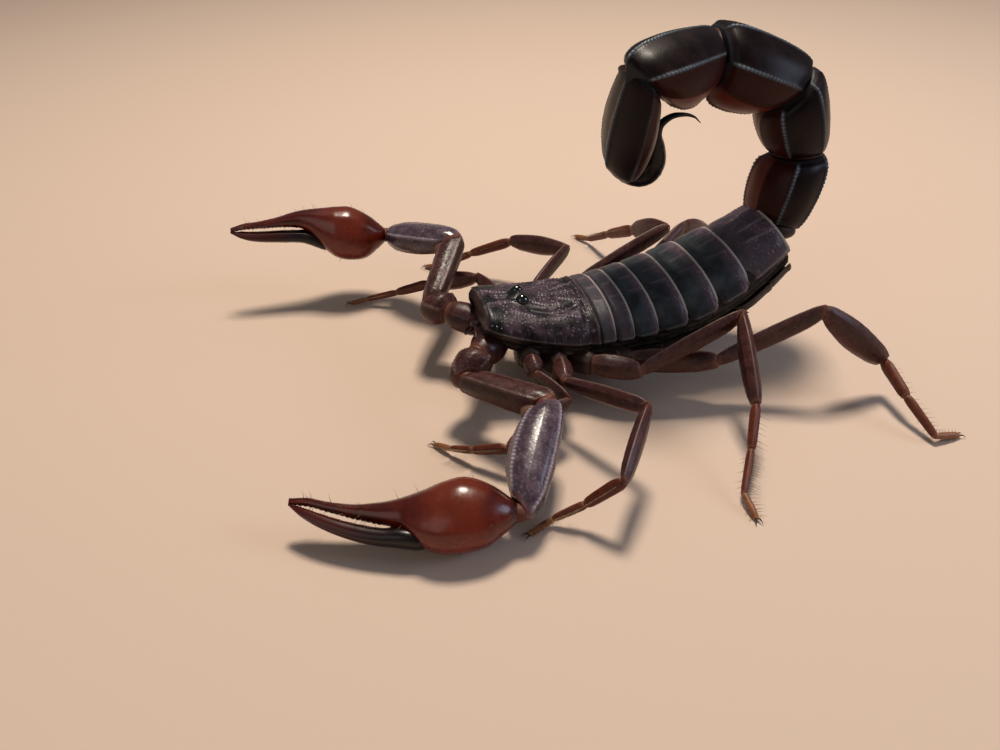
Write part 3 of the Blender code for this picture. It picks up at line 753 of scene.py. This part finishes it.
def make_leg_bases():
    """Eight coxae packed against a small breastbone, one piece."""
    work = start_work()
    for name, points in LEGS.items():
        side = 1 if name.startswith("left") else -1
        s, x, wide = COXAE[int(name[-1]) - 1]
        inner, outer = low_point(s, side * x, 3.3), Vector(points[0])
        outer += towards(inner, outer) * 0.35
        rows = ((0.0, 0.55 * wide, 0.7), (0.25, wide, 1.25), (0.7, wide * 1.08, 1.45),
                (0.92, wide * 0.95, 1.2), (1.0, wide * 0.75, 0.95))
        stub(work, inner, outer, rows, SECTION_LEG, 0.5, 44, 44, beads=(0.3, 0.07, 0.12),
             grit=(0.035, 0.28), collar=0.10, tone=lambda c, s: 0.6 * step(0.0, 0.9, -s))
    stub(work, low_point(5.0, 0.0, 3.75), low_point(8.4, 0.0, 4.05),
         ((0.0, 0.25, 0.3), (0.5, 0.6, 0.35), (1.0, 0.85, 0.35)), SECTION_ROUND, 0.9, 30, 24)
    add_piece("leg_bases", work, "smooth_belly", ("venter_front",))


def make_combs():
    """The two comb organs and the small plate between them."""
    for side, word in BOTH:
        work = start_work()
        start, end = low_point(8.9, side * 0.7, 4.25), low_point(13.4, side * 5.0, 4.45)
        axis, across, _ = axes_of(start, end, UP)
        if across.y < 0:
            across = -across
        stub(work, start, end, ((0.0, 0.5, 0.3), (0.3, 0.62, 0.28), (0.8, 0.55, 0.24),
             (1.0, 0.3, 0.2)), SECTION_ROUND, 0.9, 30, 60, tone=lambda c, s: 0.3)
        for i in range(26):
            root = start.lerp(end, 0.03 + 0.94 * i / 25) + across * 0.35
            tip = root + across * (0.95 - 0.012 * i) - UP * 0.05 + axis * 0.12
            spike(work, root, tip, 0.10, 7, shade=(0.3, 0.5, 0.0), parts=3)
        add_piece(f"{word}_comb", work, "smooth_belly", (f"pecten_{word}",))
    work = start_work()
    for s, wide, long in ((9.2, 0.95, 0.75), (10.5, 1.2, 0.65)):
        up = back(s)[1]
        ball(work, low_point(s, 0.0, 4.0), (wide, long, 0.42),
             (SIDE, up.cross(SIDE), up), (0.1, 0.2, 0.0), 14)
    add_piece("comb_plates", work, "smooth_belly")


def make_jaws():
    """The two small jaws under the front of the head shield, with their teeth."""
    for side, word in BOTH:
        work = start_work()
        x = side * 1.12
        stub(work, Vector((x, 1.9, 6.9)), Vector((x, -0.6, 6.4)), ((0.0, 0.7, 0.7),
             (0.4, 0.95, 0.95), (0.8, 0.9, 0.85), (1.0, 0.65, 0.7)), SECTION_ROUND, 0.9, 44, 40,
             grit=(0.02, 0.3), tone=lambda c, s: 0.4)
        for off, drop in ((-0.28, 0.1), (0.32, 0.0)):      # the two fingers of the jaw
            root = Vector((x + off, -0.4, 6.3 - drop))
            tip = Vector((x + off * 0.4, -1.2, 5.4 - drop))
            spike(work, root, tip, 0.30, 10, Vector((off * 0.8, 0.0, 0.15)), (0.0, 0.7, 0.9), 6)
            for k in range(3):
                tooth = root.lerp(tip, 0.35 + 0.2 * k)
                spike(work, tooth, tooth + Vector((-off * 0.9, -0.05, -0.05)), 0.09, 6,
                      shade=(0.0, 0.9, 0.9), parts=2)
        # the near-black finger finish is painted shade: the jaws lie in the shadow under the head
        # shield
        add_piece(f"{word}_jaw", work, "dark_finger", (f"chelicera_{word}",))


# ---- legs ---------------------------------------------------------------------------
TROCHANTER_ROWS = ((0.0, 0.85, 0.95), (0.3, 1.08, 1.24), (0.75, 1.02, 1.16), (1.0, 0.62, 0.80))
FEMUR_ROWS = ((0.0, 0.44, 0.62), (0.12, 0.55, 0.80), (0.5, 0.60, 1.0), (0.88, 0.56, 0.92),
              (1.0, 0.42, 0.68))
KNEE_ROWS = ((0.0, 0.40, 0.55), (0.12, 0.55, 0.82), (0.45, 0.66, 1.12), (0.85, 0.58, 0.92),
             (1.0, 0.42, 0.62))
TIBIA_ROWS = ((0.0, 0.38, 0.50), (0.15, 0.48, 0.68), (0.5, 0.48, 0.66), (0.88, 0.45, 0.58),
              (1.0, 0.38, 0.46))
SHIN_ROWS = ((0.0, 0.33, 0.40), (0.15, 0.38, 0.47), (0.85, 0.34, 0.40), (1.0, 0.28, 0.33))
FOOT_ROWS = ((0.0, 0.25, 0.30), (0.3, 0.31, 0.35), (0.8, 0.30, 0.33), (1.0, 0.24, 0.26))


KNEE_SWELL = 1.12       # how much the knee is larger than its rows
KNOT_ROWS = (  # half width and half depth of the joint skin at each point of the leg
    (1, 0.46, 0.58), (2, 0.40, 0.52), (3, 0.36, 0.46), (4, 0.30, 0.36), (5, 0.24, 0.27))


def scaled(rows, size):
    return [(share, wide * size, deep * size) for share, wide, deep in rows]


def under_red(c, s):
    return 0.85 * step(-0.1, 0.8, -s)


def make_leg(name):
    """One leg, in five pieces and its bristles; returns its joints for the joint skin."""
    size = LEG_SIZE[name[-1]]
    p = [Vector(point) for point in LEGS[name]]
    cut = mitres(p)

    def part(i, rows, section, **more):
        limb(work, p[i], p[i + 1], (cut[i], cut[i + 1]), upright(p[i], p[i + 1]),
             scaled(rows, size), section, **more)

    work = start_work()
    part(0, TROCHANTER_ROWS, SECTION_LEG, around=44, along=36, grit=(0.03, 0.26),
         beads=(0.3, 0.06, 0.12), tone=under_red, collar=0.09)
    part(1, FEMUR_ROWS, SECTION_LEG, around=56, along=130, grit=(0.022, 0.24),
         beads=(0.27, 0.085, 0.11), tone=under_red)
    add_piece(name + "_thigh", work, "leg_brown", (name + "_upper",))
    work = start_work()
    part(2, scaled(KNEE_ROWS, KNEE_SWELL), SECTION_LEG, around=60, along=120,
         grit=(0.02, 0.24), beads=(0.29, 0.08, 0.11), tone=under_red)
    add_piece(name + "_knee", work, "leg_brown", (name + "_patella",))
    work = start_work()
    part(3, TIBIA_ROWS, SECTION_LEG, around=44, along=60, beads=(0.3, 0.03, 0.1),
         tone=under_red)
    part(4, SHIN_ROWS, SECTION_LEG, around=40, along=54, beads=(0.3, 0.02, 0.1),
         tone=under_red)
    add_piece(name + "_shin", work, "shin_brown", (name + "_lower",))
    work = start_work()
    part(5, FOOT_ROWS, SECTION_ROUND, around=32, along=40)
    add_piece(name + "_foot", work, "amber_foot")
    work = start_work()
    toe = p[6]
    flat = toe - p[5]
    flat.z = 0.0
    flat.normalize()
    across = flat.cross(UP)
    for way in (-1, 1):
        root = toe + across * (0.10 * way) + UP * 0.03 - flat * 0.05
        tip = toe + flat * 0.60 + across * (0.32 * way)
        tip.z = 0.03
        spike(work, root, tip, 0.085, 8, UP * 0.16, parts=6)
    add_piece(name + "_claws", work, "black_sting")
    comb_hairs(name, p, size)
    return [(p[i], wide, deep) for i, wide, deep in scaled(KNOT_ROWS, size)]


def comb_hairs(name, p, size):
    """Bristles on one leg: a comb along the shin and foot, a few single hairs above."""
    work = start_work()
    pick = random.Random(name)
    number = int(name[-1])
    for i, count in ((3, 7), (4, 15 if number < 4 else 8), (5, 7)):
        start, end = p[i], p[i + 1]
        axis, across, up = axes_of(start, end, upright(start, end))
        out = across if across.z < 0 else -across
        outer = (out * 0.75 + up * 0.35).normalized()
        for k in range(count):
            root = start.lerp(end, 0.12 + 0.80 * (k + pick.uniform(-0.2, 0.2)) / max(1, count - 1))
            root += outer * (HAIR_ROOT * size)
            long = (1.15 if number < 4 else 0.7) * pick.uniform(0.75, 1.1)
            long *= 0.65 if i == 5 else 1
            hair(work, root, root + outer * long + axis * (long * 0.45), 0.033,
                 axis * -0.05, 3)
            if k % 3 == 0:
                root = start.lerp(end, pick.uniform(0.1, 0.9)) - outer * (HAIR_ROOT * size)
                hair(work, root, root - outer * (long * 0.6) + axis * 0.25, 0.028)
    for i in (1, 2):
        start, end = p[i], p[i + 1]
        axis, across, up = axes_of(start, end, upright(start, end))
        for _ in range(9):
            turn = pick.uniform(0, 2 * math.pi)
            out = across * math.cos(turn) + up * math.sin(turn)
            root = start.lerp(end, pick.uniform(0.1, 0.9)) + out * (0.52 * size)
            hair(work, root, root + out * 0.5 + axis * 0.2, 0.025)
    add_piece(name + "_bristles", work, "straw_bristle")


# ---- pincer arms ----------------------------------------------------------------------
HAND_ROWS = (  # share of the length, inner edge, outer edge, half depth
    (0.00, 0.55, 0.62, 0.62), (0.05, 1.25, 1.52, 1.42), (0.13, 2.15, 2.65, 2.12),
    (0.24, 2.85, 3.02, 2.52), (0.33, 2.68, 2.86, 2.42), (0.39, 2.46, 2.25, 2.10),
    (0.45, 2.28, 1.35, 1.70), (0.50, 2.15, 0.42, 1.36), (0.56, 1.98, -0.05, 1.12),
    (0.63, 1.68, -0.20, 0.97), (0.71, 1.28, -0.22, 0.85), (0.82, 0.96, -0.20, 0.66),
    (0.92, 0.74, -0.12, 0.44), (1.00, 0.34, 0.10, 0.10))
FINGER_ROWS = (  # the movable finger: share, inner edge, outer edge, half depth
    (0.0, 0.70, 1.95, 0.80), (0.06, 0.35, 2.25, 1.15), (0.14, 0.14, 1.98, 1.25),
    (0.26, 0.17, 1.58, 1.10), (0.50, 0.20, 1.48, 0.90), (0.70, 0.19, 1.30, 0.74),
    (0.87, 0.15, 0.95, 0.48), (1.0, 0.08, 0.25, 0.10))
FINGER_FROM = 0.425     # share of the pincer's length at which the movable finger begins
TOOTH_PITCH = 0.42      # mm from one tooth of a finger to the next


def make_chela(side):
    """The hand with its fixed finger, the movable finger and their bristles."""
    wrist, tip = (Vector(v) for v in PALPS[side][3:5])
    length = (tip - wrist).length
    axis = towards(wrist, tip)
    opening = Vector(CHELA_OPEN[side])
    opening = (opening - axis * opening.dot(axis)).normalized()
    depth = axis.cross(opening)

    def on_hand(share, u, v):
        bend = flow(CHELA_BEND[side], share)[0] + 0.12 * step(0.9, 1.0, share)
        return wrist + axis * (length * share) + opening * (u + bend) + depth * v

    def shaped(rows, mouth, way, teeth_from):
        """The surface of the hand with its fixed finger, way -1, or of the movable finger, 1."""
        def place(turn, share):
            cover = closing(share, mouth, 0.03)
            x = clamp((share - mouth) / (0.97 - mouth))
            inner, outer, deep = flow(rows, x)
            middle, half = (outer + way * inner) / 2, max(0.02, (outer - way * inner) / 2)
            c, s = circle(turn)
            tooth = step(0.93, 1.0, -way * c) * step(teeth_from, teeth_from + 0.03, x)
            tooth *= (1 - step(0.95, 1.0, x)) * bead(x * length, TOOTH_PITCH)
            ridge = hump(abs(s) - 0.80, 0.10) * step(0.1, 0.3, x)
            u = half * rounded(c, 0.92) - way * 0.10 * tooth
            v = deep * rounded(s, 0.92) + 0.05 * ridge * math.copysign(1, s)
            if way > 0:
                hinge = FINGER_FROM - 0.030 * (middle + u - 0.25)
                light, edge, dark = 0.0, 0.0, 0.85 * step(0.2, 0.85, x)
            else:
                hinge = 0.0
                light = 0.35 * step(0.1, 0.2, x) * (1 - step(0.30, 0.5, x))
                edge = 1 - step(0.0, 0.05, x)
                # painted shade: the hand's upward-facing side takes the dark second tone; the
                # fixed finger is darker in its own colour
                dark = max(0.6 * step(0.35, 0.95, opening.z * c + depth.z * s),
                           0.35 * step(0.46, 0.62, x))
            point = on_hand(hinge + (1 - hinge) * x, middle + u * cover, v * cover)
            return point, (max(light, 0.4 * tooth), max(edge, 0.75 * tooth), dark)
        return place

    work = start_work()
    lay_grid(work, shaped(HAND_ROWS, 0.04, -1, 0.56), lines(110, 6), lines(220, 4))
    add_piece(f"{side}_hand", work, "mahogany_hand", (f"{side}_chela",))
    work = start_work()
    lay_grid(work, shaped(FINGER_ROWS, 0.06, 1, 0.12), lines(84, 6), lines(180, 4))
    add_piece(f"{side}_finger", work, "dark_finger", (f"{side}_movable_finger",))
    work = start_work()
    pick = random.Random(side + "hand")
    for _ in range(46):
        share = pick.uniform(0.1, 0.96)
        inner, outer, deep = flow(HAND_ROWS, share)
        turn = pick.uniform(-math.pi, math.pi)
        half, middle = (outer + inner) / 2, (outer - inner) / 2
        u, v = math.cos(turn), math.sin(turn)
        root = on_hand(share, middle + half * u * 0.96, deep * v * 0.96)
        out = (opening * u + depth * v).normalized()
        hair(work, root, root + out * 0.75 + axis * 0.35, 0.024)
    add_piece(f"{side}_hand_bristles", work, "straw_bristle")


def make_palp(side):
    """One pincer arm; returns its joints for the joint skin."""
    p = [Vector(point) for point in PALPS[side]]
    cut = mitres(p)

    def part(i, rows, section, bulge, around, along, **more):
        limb(work, p[i], p[i + 1], (cut[i], cut[i + 1]), UP, rows, section, bulge, around,
             along, tone=under_red, **more)

    work = start_work()
    inner = low_point(2.6, 1.3 if side == "left" else -1.3, 2.6)
    stub(work, inner, p[0] + towards(inner, p[0]) * 0.3, ((0.0, 0.9, 0.9), (0.4, 1.45, 1.5),
         (0.8, 1.4, 1.45), (1.0, 1.0, 1.05)), SECTION_ROUND, 0.9, 60, 44, grit=(0.04, 0.28),
         collar=0.1, tone=under_red)
    part(0, ((0.0, 1.1, 1.15), (0.3, 1.72, 1.72), (0.7, 1.72, 1.68), (1.0, 1.1, 1.15)),
         SECTION_KNEE, 0.7, 100, 70, beads=(0.32, 0.11, 0.15), grit=(0.03, 0.28), cap=0.4)
    add_piece(f"{side}_arm_root", work, "leg_brown", (f"{side}_palp_trochanter",))
    work = start_work()
    part(1, ((0.0, 0.8, 0.8), (0.10, 1.08, 1.08), (0.5, 1.25, 1.2), (0.88, 1.30, 1.24),
             (1.0, 1.0, 1.0)),
         SECTION_ARM, 0.62, 120, 170, gap=(0.15, 0.15), beads=(0.30, 0.14, 0.14),
         grit=(0.035, 0.25))
    add_piece(f"{side}_arm_upper", work, "leg_brown", (f"{side}_palp_femur",))
    work = start_work()
    part(2, ((0.0, 0.95, 0.9), (0.12, 1.65, 1.35), (0.42, 2.02, 1.62), (0.78, 1.85, 1.5),
             (0.94, 1.3, 1.15), (1.0, 0.95, 0.9)),
         SECTION_KNEE, 0.8, 130, 170, gap=(0.15, 0.45), beads=(0.36, 0.15, 0.16),
         grit=(0.012, 0.3))
    add_piece(f"{side}_arm_fore", work, "keeled_arm", (f"{side}_palp_patella",))
    make_chela(side)
    return [(p[0], 0.95, 1.0), (p[1], 0.90, 0.92), (p[2], 1.0, 0.95), (p[3], 0.78, 0.78)]


# ---- tail -----------------------------------------------------------------------------
def make_tail():
    """Five rings and the sting; returns the joints and each ring's up axis."""
    points, ups = [Vector(TAIL_ROOT)], []
    for length, _, _, pitch, lean in TAIL:
        pitch, lean = math.radians(pitch), math.radians(lean)
        points.append(points[-1] + length * Vector((
            math.sin(lean), math.cos(lean) * math.cos(pitch), math.cos(lean) * math.sin(pitch))))
        ups.append(Vector((0.0, -math.sin(pitch), math.cos(pitch))))
    cut = mitres(points)
    for i, (_, wide, deep, _, _) in enumerate(TAIL):
        number = i + 1
        rows = ((0.0, 0.70, 0.70), (0.06, 0.83, 0.83), (0.20, 0.94, 0.95), (0.50, 1.04, 1.04),
                (0.78, 1.02, 1.03), (0.93, 0.93, 0.94), (1.0, 0.76, 0.76))
        if number == 4:         # narrower towards its rear
            rows = rows[:4] + ((0.76, 0.99, 0.99), (0.92, 0.82, 0.83), (1.0, 0.64, 0.66))
        if number == 5:
            rows = ((0.0, 0.72, 0.72), (0.06, 0.85, 0.86), (0.25, 0.97, 0.98), (0.52, 1.05, 1.05),
                    (0.78, 0.98, 0.96), (0.92, 0.85, 0.82), (1.0, 0.62, 0.60))
        roll = TAIL_ROLL[i]

        # the inner face is red-brown: only faintly on its near half, painted as shade in the
        # furrow, and fully on its far half, painted as lit
        def inner_red_painted_lit_half(c, s, roll=roll):
            turn = (math.degrees(math.atan2(s, c)) - roll + 180) % 360 - 180
            face = step(41, 50, turn) * (1 - step(130, 139, turn))
            return face * (0.22 + 0.78 * step(86, 93, turn))

        work = start_work()
        limb(work, points[i], points[i + 1], (cut[i], cut[i + 1]), ups[i],
             [(share, wide * a, deep * b) for share, a, b in rows],
             [(angle + roll, *rest) for angle, *rest in
              (SECTION_LAST if number == 5 else SECTION_TAIL)], 0.6, 176, 150,
             gap=(0.9 if i == 0 else 0.12, 0.12), beads=(0.36, 0.22, 0.12), grit=(0.0, 0.35),
             tone=inner_red_painted_lit_half, rise=True, collar=0.035)
        add_piece(f"tail_ring_{number}", work, "keeled_tail", (f"metasoma_{number}",))
    down, inside = towards(points[4], points[5]), ups[4]
    inside = (inside - down * inside.dot(down)).normalized()
    across = down.cross(inside)

    def centre(t):
        a, b, wide, deep = flow(TELSON, t)
        return points[5] + down * a + inside * b, max(wide, 0.01), max(deep, 0.01)

    def place(turn, share):
        t = 12 * share
        middle, wide, deep = centre(t)
        ahead = towards(centre(max(t - 0.05, 0))[0], centre(min(t + 0.05, 12))[0])
        up = across.cross(ahead).normalized()
        close = closing(share, 0.03, 0.005)
        c, s = circle(turn)
        bulb = step(0.04, 0.12, share) * (1 - step(0.45, 0.6, share))
        grain = granule(middle.x + c * 2, middle.y + s * 2, middle.z, 0.42) * bulb
        point = middle + (across * (c * wide) + up * (s * deep)) * close
        point += (across * c + up * s) * (0.03 * grain)
        return point, (0.35 * grain, 0.0, step(0.55, 0.72, share))

    work = start_work()
    lay_grid(work, place, lines(72, 6), lines(220, 4))
    add_piece("sting", work, "black_sting", ("telson",))
    return points, ups


def make_joint_skins(legs, palps, tail):
    """The soft skin between the segments: one piece, rounded out at every joint."""
    work = start_work()
    for limbs, shade, rings in ((legs, (0.1, 0.15, 0.15), 12), (palps, (0.0, 0.25, 0.2), 18)):
        for centre, wide, deep in sum(limbs, []):
            ball(work, centre, (wide, wide, deep), shade=shade, rings=rings)
    for side in PALPS:
        p = [Vector(point) for point in PALPS[side]]
        inward = (towards(p[2], p[1]) + towards(p[2], p[3])).normalized()
        across = towards(p[1], p[3])
        ball(work, p[2] + inward * 1.3, (1.35, 0.95, 0.75), (across, inward, across.cross(inward)),
             (0.2, 0.0, 0.35), 22)
        ball(work, p[2] + UP * 0.55, (0.5, 0.8, 0.36), (across, inward, across.cross(inward)),
             (0.0, 0.45, 0.35), 14)
    points, ups = tail
    for i, axis in enumerate(mitres(points)[1:], 1):
        across = towards(points[i - 1], points[i]).cross(ups[i - 1]).normalized()
        _, wide, deep, _, _ = TAIL[i - 1]
        size = 0.76 if i < 5 else 0.5
        ball(work, points[i], (wide * size, 0.55, deep * size),
             (across, axis, axis.cross(across)), (0.0, 0.0, 0.9), 20)
    first = towards(points[0], points[1])
    across = first.cross(ups[0]).normalized()
    ball(work, points[0] + first * 0.7, (2.7, 1.2, 2.3), (across, first, first.cross(across)),
         (0.0, 0.0, 0.95), 20)
    add_piece("joint_skin", work, "joint_skin")


# ---- the model --------------------------------------------------------------------------
make_carapace()
make_tergites()
make_trunk_skin()
make_belly()
make_leg_bases()
make_combs()
make_jaws()
leg_joints = [make_leg(name) for name in LEGS]
palp_joints = [make_palp(side) for side in PALPS]
make_joint_skins(leg_joints, palp_joints, make_tail())


# ---- studio -----------------------------------------------------------------------------
def studio():
    """A pale matt floor, three soft lights and the camera."""
    scene = bpy.context.scene
    world = bpy.data.worlds.new("studio")
    scene.world = world
    world.use_nodes = True
    world.node_tree.nodes["Background"].inputs[0].default_value = linear("#E2E6EC")
    world.node_tree.nodes["Background"].inputs[1].default_value = 0.17
    scene.view_settings.view_transform = "Standard"
    work = bmesh.new()
    bmesh.ops.create_grid(work, x_segments=2, y_segments=2, size=1.2)
    mesh = bpy.data.meshes.new("floor")
    work.to_mesh(mesh)
    work.free()
    floor = link("floor", mesh)
    matt = bpy.data.materials.new("pale_studio_floor")
    matt.use_nodes = True
    shader = matt.node_tree.nodes["Principled BSDF"]
    shader.inputs["Base Color"].default_value = linear("#C9B2A1")
    shader.inputs["Roughness"].default_value = 0.9
    mesh.materials.append(matt)
    for name, place, energy, size, colour in (
            ("key", (-0.08, 0.03, 0.28), 0.95, 0.06, "#FFF3E2"),
            ("side", (0.12, 0.26, 0.16), 0.26, 0.12, "#D4E4FF"),
            ("front", (0.20, -0.26, 0.20), 0.13, 0.22, "#FFF8F0")):
        lamp = bpy.data.lights.new(name, "AREA")
        lamp.energy, lamp.size, lamp.color = energy, size, linear(colour)[:3]
        light = link(name, lamp)
        light.location = place
        light.rotation_euler = (-Vector(place)).to_track_quat("-Z", "Y").to_euler()
    lens = bpy.data.cameras.new("camera")
    lens.sensor_width, lens.lens = 36.0, 29.54
    lens.clip_start, lens.clip_end = 0.002, 10.0
    camera = link("camera", lens)
    yaw, tilt, roll = math.radians(15.42), math.radians(35.86), math.radians(-0.83)
    ahead = Vector((-math.cos(yaw) * math.cos(tilt), math.sin(yaw) * math.cos(tilt),
                    -math.sin(tilt)))
    right = ahead.cross(UP).normalized()
    top = right.cross(ahead)
    right, top = (right * math.cos(roll) + top * math.sin(roll),
                  top * math.cos(roll) - right * math.sin(roll))
    camera.rotation_euler = Matrix((right, top, -ahead)).transposed().to_euler()
    camera.location = (Vector((64.0, -15.7, 48.65)) + SHIFT) * MM
    scene.camera = camera


studio()
